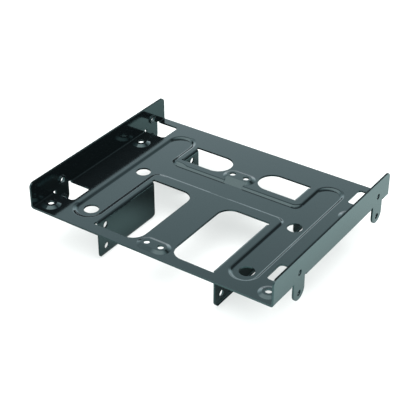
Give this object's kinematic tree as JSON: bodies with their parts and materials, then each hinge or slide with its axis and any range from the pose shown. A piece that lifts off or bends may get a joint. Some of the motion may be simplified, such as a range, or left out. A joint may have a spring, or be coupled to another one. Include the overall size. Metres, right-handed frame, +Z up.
{
  "type": "drive bay adapter bracket",
  "caption": "Folded sheet-metal adapter that fits smaller drives into a full-size drive bay, with side walls, screw ears, raised seats, a recessed H and guides folded below.",
  "frame": {"origin": "middle of the bracket's outline, on the surface that it stands on with the lower edges of its guides", "axes": "+X to the right across the bay, +Y to the rear of the bay, +Z up"},
  "size_m": [0.146, 0.1148, 0.0365],
  "materials": {
    "black_paint": "smooth gloss black paint on steel sheet"
  },
  "bodies": {
    "root": {"bay_adapter_bracket": "black_paint"}
  },
  "joints": []
}
